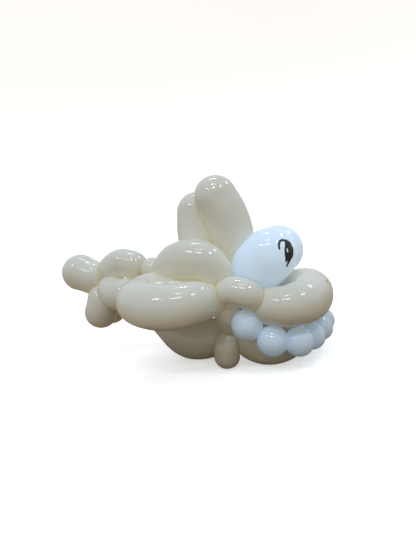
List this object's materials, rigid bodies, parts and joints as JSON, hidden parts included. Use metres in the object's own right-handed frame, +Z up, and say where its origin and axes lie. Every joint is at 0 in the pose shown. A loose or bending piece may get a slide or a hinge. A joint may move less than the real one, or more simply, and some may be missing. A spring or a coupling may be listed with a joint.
{
  "type": "balloon shark",
  "caption": "Shark twisted from long balloons, with a beige body, dorsal and pectoral fins, a forked tail, bulging white eyes and a row of white bead teeth.",
  "frame": {"origin": "on the surface that the shark stands on, under the middle of its overall box", "axes": "+X towards the snout, +Y to the shark's left side, +Z up"},
  "size_m": [0.3206, 0.2056, 0.1942],
  "materials": {
    "beige_latex": "glossy, slightly translucent latex, grey-white to sandy beige",
    "white_latex": "glossy, slightly translucent white latex, with pupils drawn in black marker ink on the eyes"
  },
  "bodies": {
    "root": {"head_balloon": "beige_latex", "back_and_fins_balloon": "beige_latex", "body_and_tail_balloon": "beige_latex", "eyes_balloon": "white_latex", "teeth_balloon": "white_latex"}
  },
  "joints": []
}
